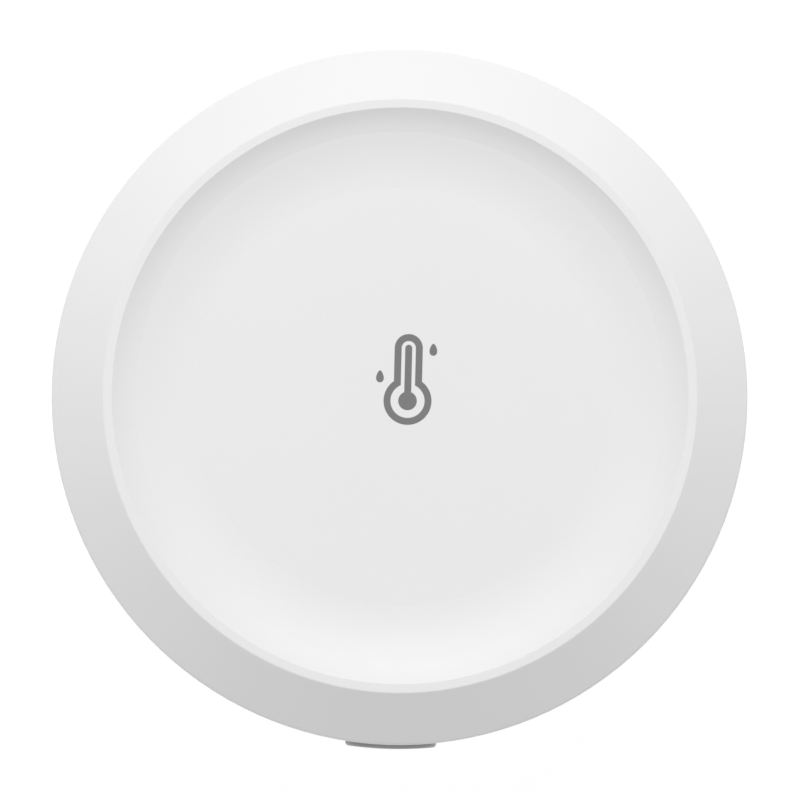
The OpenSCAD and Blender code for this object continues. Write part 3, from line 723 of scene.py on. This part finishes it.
def circle(tree_socket, points, radius):
    """A round outline of a few points."""
    sockets = {"Resolution": points, "Radius": radius}
    return tree_socket.node("GeometryNodeCurvePrimitiveCircle", None, sockets)


def strip(tree_socket, width, thickness):
    """A thin rectangular outline."""
    sockets = {"Width": width, "Height": thickness}
    return tree_socket.node("GeometryNodeCurvePrimitiveQuadrilateral", None, sockets)


def sweep(path, outline, caps=True):
    """Carries a closed outline along a curve."""
    sockets = {"Curve": path, "Profile Curve": outline, "Fill Caps": caps}
    return path.node("GeometryNodeCurveToMesh", None, sockets)


def move_to(geometry, point):
    """Puts the points of a geometry where a formula says."""
    return geometry.node("GeometryNodeSetPosition", None, {"Geometry": geometry, "Position": point})


def wound(steps, point):
    """A curve of so many points, each where a formula puts it."""
    row = steps.node("GeometryNodeMeshLine", None, {"Count": steps})
    return move_to(row.node("GeometryNodeMeshToCurve", None, {0: row}), point)


def set_on(points, piece, **turns):
    """Sets a copy of a piece on every point, turned or scaled if that is given."""
    return piece.node("GeometryNodeInstanceOnPoints", None, {"Points": points, "Instance": piece, **turns})


def cut_away(body, tool, crossing=False):
    """Takes a tool's shape, which may cross itself, out of a body."""
    settings = {"operation": "DIFFERENCE", "solver": "EXACT"}
    sockets = {"Mesh 1": body, "Mesh 2": tool, "Self Intersection": crossing}
    return body.node("GeometryNodeMeshBoolean", settings, sockets)


print("shared steps: sweep, move, wind, set on points, cut away")


# %% [markdown]
# ## The springs
# A conical wire spring presses on the flat end of each cell. It starts with a quarter turn flat on its plate,
# then climbs as it narrows, so that its turns could nest when a cell pushes it. One formula gives the path:
# the share of the way gives the angle and the radius, and a smooth step gives the climb.

# %% Grow the springs
WIRE_R = 0.25 * MM
WIRE_SIDES = 12
SPRING = {"Steps": 171, "Turns": 4.25, "Seat turns": 0.25, "Wire radius": WIRE_R}
SPRING.update({"Narrow radius": 1.45 * MM, "Wide radius": 0.0, "Reach": 0.0})
SPRING.update({"Foot": 0.0, "Axis Y": 0.0, "Axis Z": 0.0})

spring_tree, size = start_tree("cone_spring", SPRING)
share = size["Steps"].node("GeometryNodeInputIndex") / (size["Steps"] - 1)
turn = share * size["Turns"]
climb = ease(turn, size["Seat turns"], size["Turns"] - size["Seat turns"]) * size["Reach"]
reach = size["Wide radius"] + (size["Narrow radius"] - size["Wide radius"]) * share
swing = turn * TURN
wire_point = combine(
    share,
    size["Foot"] + climb,
    size["Axis Y"] + reach * share.math("COSINE", swing),
    size["Axis Z"] + reach * share.math("SINE", swing),
)
wire = circle(share, WIRE_SIDES, size["Wire radius"])
end_tree(sweep(wound(size["Steps"], wire_point), wire), plated_steel)

for name, cell in (("negative_spring", "lower_cell"), ("bridge_spring", "upper_cell")):
    low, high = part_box(name)
    axis = middle_of(cell)
    way = 1 if axis.x < (low.x + high.x) / 2 else -1
    plate = high.x if way > 0 else low.x
    SPRING["Foot"] = plate - way * WIRE_R
    SPRING["Reach"] = way * (2 * WIRE_R - (high.x - low.x))
    SPRING["Wide radius"] = (high.z - low.z) / 2 - WIRE_R
    SPRING["Axis Y"] = axis.y
    SPRING["Axis Z"] = axis.z
    spring_mesh = grow(spring_tree, SPRING, seed_mesh([]))
    add_piece(name.replace("spring", "coil"), spring_mesh, None, "body", [name])
    print(name, "faces:", len(spring_mesh.polygons))


# %% [markdown]
# ## The screws
# Four small pan-head screws cut their own thread into the shell's bosses. The blank is turned from an
# outline. The tree cuts the cross recess into its head, winds a ridge round its core for the thread, and
# sets four of them at the bosses, each turned by chance as a screwdriver leaves it.

# %% Turn a blank
HEAD = ((0, 0), (1.25, 0), (1.52, 0.06), (1.73, 0.22), (1.86, 0.46), (1.9, 0.74), (1.9, 1.22), (1.82, 1.3))
SHANK = ((0.8, 1.3), (0.8, 6.45), (0.3, 7.05), (0, 7.05))
HEAD_R = max(r for r, z in HEAD) * MM


def turned(outline, steps=40):
    """Mesh of an outline of (radius, height) points, in millimetres, turned round the upright axis."""
    mesh = bpy.data.meshes.new("turned")
    work = bmesh.new()
    ring = [work.verts.new((r * MM, 0, z * MM)) for r, z in outline]
    lines = [work.edges.new(pair) for pair in zip(ring, ring[1:])]
    bmesh.ops.spin(work, geom=ring + lines, cent=(0, 0, 0), axis=(0, 0, 1), angle=TURN, steps=steps)
    work.to_mesh(mesh)
    work.free()
    settle(mesh)
    return mesh


blank = turned(HEAD + SHANK)
print("blank faces:", len(blank.polygons))


# %% Grow the screws
RIDGE_SIDES = 8
screws_low, screws_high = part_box("tray_screws")
SCREW = {"Recess width": 2.2 * MM, "Recess slot": 0.5 * MM, "Recess depth": 0.65 * MM}
SCREW.update({"Thread steps": 150, "Thread turns": 6.0, "Thread foot": 1.7 * MM})
SCREW.update({"Thread rise": 4.7 * MM, "Core radius": 0.78 * MM, "Ridge radius": 0.2 * MM})
SCREW.update({"Across": screws_high.x - HEAD_R, "Along": screws_high.y - HEAD_R})
SCREW.update({"Height": screws_low.z, "Screws": 4})

screw_tree, size = start_tree("screws", SCREW)
slot = combine(size["Seed"], size["Recess width"], size["Recess slot"], 2 * size["Recess depth"])
bar = slot.node("GeometryNodeMeshCube", None, {"Size": slot})
other_bar = bar.node("GeometryNodeTransform", None, {"Geometry": bar, "Rotation": (0, 0, TURN / 4)})
cross = bar.node("GeometryNodeJoinGeometry", None, {0: [bar, other_bar]})
headed = cut_away(size["Seed"], cross, True)
index = bar.node("GeometryNodeInputIndex")
share = index / (size["Thread steps"] - 1)
swing = share * size["Thread turns"] * TURN
ridge_point = combine(
    share,
    size["Core radius"] * share.math("COSINE", swing),
    size["Core radius"] * share.math("SINE", swing),
    size["Thread foot"] + size["Thread rise"] * share,
)
ridge = circle(share, RIDGE_SIDES, size["Ridge radius"])
thread = sweep(wound(size["Thread steps"], ridge_point), ridge)
one_screw = bar.node("GeometryNodeJoinGeometry", None, {0: [headed, thread]})
right = index.math("MODULO", index, 2.0)
near = index.math("FLOOR", index * 0.5)
boss_point = combine(
    index,
    size["Across"] * (1 - 2 * right),
    size["Along"] * (1 - 2 * near),
    size["Height"],
)
bosses = move_to(index.node("GeometryNodeMeshLine", None, {"Count": size["Screws"]}), boss_point)
twist = index.node("FunctionNodeRandomValue", {"data_type": "FLOAT"}, {2: 0.0, 3: TURN, "Seed": 4}, 1)
end_tree(set_on(bosses, one_screw, Rotation=combine(twist, 0.0, 0.0, twist)), plated_steel)
screw_mesh = grow(screw_tree, SCREW, blank)
add_piece("threaded_screws", screw_mesh, None, "body", ["tray_screws"])
print("screw faces:", len(screw_mesh.polygons))


# %% [markdown]
# ## Tinned ends
# Every chip is soldered by tinned caps at its two ends, and the yellow capacitor and the light by short
# metal feet. Each is a small block that wraps an end, so one tree sets a block on every point of its seed.
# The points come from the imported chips: a node's mesh is split into its loose parts, and each part's box
# gives two ends.

# %% Split a node into its solids
def boxes_of(name):
    """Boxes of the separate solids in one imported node, from left to right."""
    work = bmesh.new()
    work.from_mesh(nodes[name].data)
    bmesh.ops.remove_doubles(work, verts=work.verts, dist=ONE_POINT)
    left = set(work.verts)
    boxes = []
    while left:
        front = [left.pop()]
        found = []
        while front:
            vert = front.pop()
            found.append(vert.co.copy())
            fresh = {edge.other_vert(vert) for edge in vert.link_edges} & left
            left -= fresh
            front.extend(fresh)
        corners = [[pick(co[i] for co in found) for i in range(3)] for pick in (min, max)]
        boxes.append([Vector(corner) for corner in corners])
    work.free()
    return sorted(boxes, key=lambda box: tuple(box[0]))


print("chip resistors:", len(boxes_of("chip_resistors")))


# %% Cap the ends of the chips
BOARD_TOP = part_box("main_board")[1].z
CAP_SKIN = 0.03 * MM
CAP_BEVEL = 0.04 * MM
CAP = {"Length": 0.0, "Width": 0.0, "Height": 0.0}
cap_tree, size = start_tree("end_caps", CAP)
block = combine(size["Seed"], size["Length"], size["Width"], size["Height"])
block = block.node("GeometryNodeMeshCube", None, {"Size": block})
end_tree(set_on(size["Seed"], block), solder)


def cap_ends(piece, node, length, width_share=1.0, height_share=1.0):
    """Sets a block round both ends of each solid in a node."""
    boxes = boxes_of(node)
    low, high = boxes[0]
    span = high - low
    sizes = {"Length": length, "Width": span.y * width_share + 2 * CAP_SKIN}
    sizes["Height"] = span.z * height_share + CAP_SKIN
    height = BOARD_TOP + sizes["Height"] / 2
    points = []
    for low, high in boxes:
        for x in (low.x + length / 2 - CAP_SKIN, high.x - length / 2 + CAP_SKIN):
            points.append((x, (low.y + high.y) / 2, height))
    mesh = grow(cap_tree, sizes, seed_mesh(points), CAP_BEVEL)
    add_piece(piece, mesh, None, "body")
    print(piece, "blocks:", len(points))


cap_ends("resistor_ends", "chip_resistors", 0.3 * MM)
cap_ends("ceramic_ends", "chip_capacitors", 0.36 * MM)
cap_ends("capacitor_feet", "buffer_capacitor", 0.5 * MM, width_share=0.8, height_share=0.55)
cap_ends("light_feet", "signal_light", 0.3 * MM, width_share=0.9, height_share=0.4)


# %% [markdown]
# ## Solder
# The radio module is soldered by half-round notches along its sides, nine to a side, and the contacts'
# tabs come up through the board into fillets of solder. A notch takes a small dome. A fillet is a cone that
# is drawn in at mid-height, because molten solder climbs what it wets.

# %% Solder the module
NOTCHES = 9
NOTCH_END = 1.0 * MM
module_low, module_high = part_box("radio_module")
notch_step = (module_high.y - module_low.y - 2 * NOTCH_END) / (NOTCHES - 1)
notch_rows = [module_low.y + NOTCH_END + i * notch_step for i in range(NOTCHES)]

DOME = {"Reach": 0.62 * MM, "Half width": 0.4 * MM, "Rise": 0.52 * MM}
dome_tree, size = start_tree("solder_domes", DOME)
unit_ball = {"Segments": 16, "Rings": 10, "Radius": 1.0}
ball = size["Seed"].node("GeometryNodeMeshUVSphere", None, unit_ball)
scale = combine(ball, size["Reach"], size["Half width"], size["Rise"])
end_tree(set_on(size["Seed"], ball, Scale=scale), solder)
notch_points = [(x, y, BOARD_TOP) for y in notch_rows for x in (module_low.x, module_high.x)]
add_piece("module_solder", grow(dome_tree, DOME, seed_mesh(notch_points)), None, "body")
print("soldered notches:", len(notch_points))


# %% Solder the tabs
FILLET = {"Foot": 1.25 * MM, "Top": 0.75 * MM, "Rise": 0.55 * MM, "Draw": 0.16, "Flatten": 0.75}
fillet_tree, size = start_tree("solder_fillets", FILLET)
cone = size["Seed"].node(
    "GeometryNodeMeshCone",
    None,
    {
        "Vertices": 32,
        "Side Segments": 8,
        "Fill Segments": 2,
        "Radius Top": size["Top"],
        "Radius Bottom": size["Foot"],
        "Depth": size["Rise"],
    },
)
spot = cone.node("GeometryNodeInputPosition")
height = spot.node("ShaderNodeSeparateXYZ", None, {0: spot}, "Z") / size["Rise"]
waist = 1 - size["Draw"] * height.math("SINE", height * (TURN / 2))
shape = combine(waist, waist * size["Flatten"], waist, 1.0)
drawn = spot.node("ShaderNodeVectorMath", {"operation": "MULTIPLY"}, {0: spot, 1: shape})
end_tree(set_on(size["Seed"], move_to(cone, drawn)), solder)

tab_points = []
for name in ("positive_contact", "negative_contact"):
    tab = [v.co for v in nodes[name].data.vertices if v.co.z > BOARD_TOP]
    x, y = (sum(co[i] for co in tab) / len(tab) for i in (0, 1))
    tab_points.append((x, y, BOARD_TOP))
add_piece("tab_solder", grow(fillet_tree, FILLET, seed_mesh(tab_points)), None, "body")
print("soldered tabs:", len(tab_points))


# %% [markdown]
# ## Tracks and aerial
# Copper tracks run under the mask from the module to the chips, the tabs and the sensor's tongue. They show
# as low green ridges. The aerial at the module's free end is a bare gilded meander. All are paths with a
# flat cross-section: the seed's edges become curves, their corners are rounded, and a thin rectangle runs
# along them.

# %% A tree for ribbons
TRACK = {"Width": 0.32 * MM, "Thickness": 0.07 * MM, "Corner": 0.5 * MM}


def ribbon_tree(name, finish):
    tree, size = start_tree(name, TRACK)
    path = size["Seed"].node("GeometryNodeMeshToCurve", None, {0: size["Seed"]})
    path = path.node(
        "GeometryNodeFilletCurve",
        {"mode": "POLY"},
        {"Curve": path, "Radius": size["Corner"], "Limit Radius": True, "Count": 4},
    )
    path = path.node("GeometryNodeSetCurveNormal", {"mode": "Z_UP"}, {"Curve": path})
    end_tree(sweep(path, strip(path, size["Width"], size["Thickness"])), finish)
    return tree


def route_mesh(routes, height):
    """Seed of open paths; a route is a list of (x, y) points in millimetres."""
    points = []
    edges = []
    for route in routes:
        start = len(points)
        points.extend((x * MM, y * MM, height) for x, y in route)
        edges.extend((i, i + 1) for i in range(start, len(points) - 1))
    return seed_mesh(points, edges)


track_mask = moulded("track_mask", (0.02, 0.17, 0.07, 1), (0.03, 0.22, 0.10, 1), 0.3, 0.3)
track_tree = ribbon_tree("tracks", track_mask)
aerial_tree = ribbon_tree("aerial", gilt)
print(f"tracks {TRACK['Width'] / MM:.2f} mm wide")


# %% Lay the tracks
left, right = module_low.x / MM, module_high.x / MM
pin = [y / MM for y in notch_rows]
to_tongue = [(8.8, pin[8]), (8.8, 18.2), (7.0, 20.0), (3.9, 20.0), (3.2, 20.7), (3.2, 23.0), (2.2, 24.0)]
signal_routes = [
    [(left, pin[0]), (-9.4, pin[0]), (-11.2, -0.8), (-11.2, -3.6)],
    [(left, pin[2]), (-12.0, pin[2]), (-18.5, -1.5), (-18.5, -5.0)],
    [(right, pin[0]), (9.4, pin[0]), (11.2, -0.8), (11.2, -5.6)],
    [(right, pin[1]), (12.2, pin[1]), (13.2, 2.0)],
    [(right, pin[2]), (13.2, pin[2])],
    [(12.8, -6.0), (14.5, -7.7), (14.5, -11.0), (9.0, -16.5), (5.8, -16.5)],
    [(-12.8, -6.5), (-14.5, -8.2), (-14.5, -11.0), (-9.0, -16.5), (-5.8, -16.5)],
    [(4.2, -16.5), (2.5, -18.2), (2.5, -20.6)],
    [(-4.2, -16.5), (-2.5, -18.2), (-2.5, -20.6)],
    [(-1.0, -11.0), (-3.2, -11.0), (-7.2, -7.0)],
    [(1.0, -11.0), (1.4, -11.0), (5.2, -7.0)],
    [(left, pin[8])] + [(-x, y) for x, y in to_tongue],
    [(right, pin[8])] + to_tongue,
]
power_routes = [
    [(left, pin[1]), (-13.2, pin[1])],
    [(6.8, -7.0), (8.2, -7.0)],
    [(right, pin[3]), (20.5, pin[3]), (21.6, 5.95), (23.6, 5.95)],
    [(14.8, 2.0), (17.5, 2.0), (23.9, -4.4), (23.9, -5.6)],
]
signal_mesh = grow(track_tree, TRACK, route_mesh(signal_routes, BOARD_TOP))
add_piece("signal_tracks", signal_mesh, None, "body")
power_sizes = {**TRACK, "Width": 1.1 * MM}
power_mesh = grow(track_tree, power_sizes, route_mesh(power_routes, BOARD_TOP))
add_piece("power_tracks", power_mesh, None, "body")
print("routes:", len(signal_routes) + len(power_routes))


# %% Lay the aerial
AERIAL_BARS = 9
AERIAL_X = (-5.2, 5.2)
AERIAL_Y = (13.3, 17.2)

meander = []
for i in range(AERIAL_BARS):
    x = AERIAL_X[0] + (AERIAL_X[1] - AERIAL_X[0]) * i / (AERIAL_BARS - 1)
    meander.extend((x, y) for y in (AERIAL_Y if i % 2 == 0 else reversed(AERIAL_Y)))
aerial_sizes = {**TRACK, "Width": 0.5 * MM, "Corner": 0.1 * MM}
aerial_mesh = grow(aerial_tree, aerial_sizes, route_mesh([meander], module_high.z))
add_piece("meander_aerial", aerial_mesh, None, "body")
print("aerial points:", len(meander))


# %% [markdown]
# ## Plated holes
# Small plated holes tie the copper on the two faces together, where a track ends and in a row round the
# board's edge. Each shows as a tinned ring. Rays down onto the board tell which places of the row have
# laminate all round, so that none lands in a slot or hangs over an edge.

# %% Ring the plated holes
HOLE_ROW_R = 25.9 * MM
HOLE_ROW_STEP = 9
HOLE_ROOM = 0.8 * MM
RAY_FROM = 1.0 * MM
RAY_REACH = 1.5 * MM
HOLED_ROUTES = (1, 7, 8, 11, 12)
RING_SIDES = 20
RING = {"Radius": 0.32 * MM, "Width": 0.22 * MM, "Thickness": 0.09 * MM}

ring_tree, size = start_tree("plated_holes", RING)
edge = circle(size["Seed"], RING_SIDES, size["Radius"])
edge = edge.node("GeometryNodeSetCurveNormal", {"mode": "Z_UP"}, {"Curve": edge})
ring = sweep(edge, strip(edge, size["Width"], size["Thickness"]), False)
end_tree(set_on(size["Seed"], ring), solder)


def on_board(x, y):
    """Whether there is bare laminate at a place and a little way round it."""
    for dx, dy in ((0, 0), (1, 0), (-1, 0), (0, 1), (0, -1)):
        start = (x + dx * HOLE_ROOM, y + dy * HOLE_ROOM, BOARD_TOP + RAY_FROM)
        if not nodes["main_board"].ray_cast(start, (0, 0, -1), distance=RAY_REACH)[0]:
            return False
    return True


track_ends = [signal_routes[i][-1] for i in HOLED_ROUTES]
hole_points = [(x * MM, y * MM) for x, y in track_ends]
for angle in range(0, 360, HOLE_ROW_STEP):
    way = math.radians(angle + HOLE_ROW_STEP / 2)
    place = (HOLE_ROW_R * math.cos(way), HOLE_ROW_R * math.sin(way))
    if on_board(*place):
        hole_points.append(place)
ring_mesh = grow(ring_tree, RING, seed_mesh([(x, y, BOARD_TOP) for x, y in hole_points]))
add_piece("plated_holes", ring_mesh, None, "body")
print("plated holes:", len(hole_points))


# %% [markdown]
# ## The shield
# The radio's chip sits under a drawn can with round holes, which let hot air in when it is soldered and
# keep radio waves in afterwards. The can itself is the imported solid. The tree takes a copy of it, merges its
# loose triangles, and cuts a grid of holes through its top.

# %% Pierce the shield
middle = middle_of("radio_shield")
SHIELD = {"Holes across": 6, "Holes along": 5, "Hole radius": 0.42 * MM, "Hole depth": 0.6 * MM}
SHIELD.update({"Field width": 9.5 * MM, "Field length": 7.6 * MM})
SHIELD.update({"Middle X": middle.x, "Middle Y": middle.y, "Top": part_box("radio_shield")[1].z})

shield_tree, size = start_tree("pierced_shield", SHIELD)
loose = {"Geometry": size["Seed"], "Distance": ONE_POINT}
can = size["Seed"].node("GeometryNodeMergeByDistance", None, loose)
field = can.node(
    "GeometryNodeMeshGrid",
    None,
    {
        "Size X": size["Field width"],
        "Size Y": size["Field length"],
        "Vertices X": size["Holes across"],
        "Vertices Y": size["Holes along"],
    },
)
centre = combine(can, size["Middle X"], size["Middle Y"], size["Top"])
field = field.node("GeometryNodeTransform", None, {"Geometry": field, "Translation": centre})
punch = can.node(
    "GeometryNodeMeshCylinder",
    None,
    {"Vertices": 24, "Radius": size["Hole radius"], "Depth": size["Hole depth"]},
)
punches = set_on(field, punch)
punches = punches.node("GeometryNodeRealizeInstances", None, {0: punches})
end_tree(cut_away(can, punches), plated_steel)
shield_mesh = grow(shield_tree, SHIELD, nodes["radio_shield"].data.copy())
add_piece("pierced_shield", shield_mesh, None, "body", ["radio_shield"])
print("shield faces:", len(shield_mesh.polygons))


# %% [markdown]
# ## Marks for the twist
# The back is turned to open it, so such housings carry small raised marks: a triangle on the back's band,
# and on the shell a dot for shut and a ring for open, as far apart as the back turns. They are moulded in
# the same white plastic. Each is a thin flat plate that is then bent round the wall.

# %% Raise the marks
MARK_R = 0.95 * MM
MARK_HOLE_R = 0.55 * MM
MARK_T = 0.25 * MM
MARK_SUNK = 0.05 * MM
SHELL_MARK_Z = 6.7 * MM
BAND_MARK_Z = 2.5 * MM
joints = {joint["name"]: joint for joint in frame["record"]["behaviour"]["joints"]}
OPEN_ANGLE = math.radians(joints["body_twist"]["range_deg"][1])


def wall_radius(name, height):
    """Radius of a solid's outside at a height, looking in from +X."""
    return nodes[name].ray_cast((2 * RIM_R, 0, height), (-1, 0, 0))[1].xy.length


def bent_mark(outlines, solid, angle, height):
    """A flat plate bent round the wall of a solid, upright at the given angle and height."""
    mesh = printed_mesh(outlines, MARK_T, Vector((0, 0, MARK_T / 2 - MARK_SUNK)))
    for vert in mesh.vertices:
        level = height + vert.co.y
        out = wall_radius(solid, level) + vert.co.z
        way = angle + vert.co.x / out
        vert.co = (out * math.cos(way), out * math.sin(way), level)
    settle(mesh)
    return mesh


disc = ring_of(MARK_R)
hole = ring_of(MARK_HOLE_R)
triangle = [(MARK_R * math.sin(a), MARK_R * math.cos(a)) for a in (0, TURN / 3, 2 * TURN / 3)]
shut_mark = bent_mark([disc], "front_shell", 0, SHELL_MARK_Z)
open_mark = bent_mark([disc, hole], "front_shell", -OPEN_ANGLE, SHELL_MARK_Z)
band_mark = bent_mark([triangle], "back_cover", 0, BAND_MARK_Z)
add_piece("shut_mark", shut_mark, housing, "body")
add_piece("open_mark", open_mark, housing, "body")
add_piece("band_mark", band_mark, housing, "base")
print(f"marks {math.degrees(OPEN_ANGLE):.0f} degrees apart")
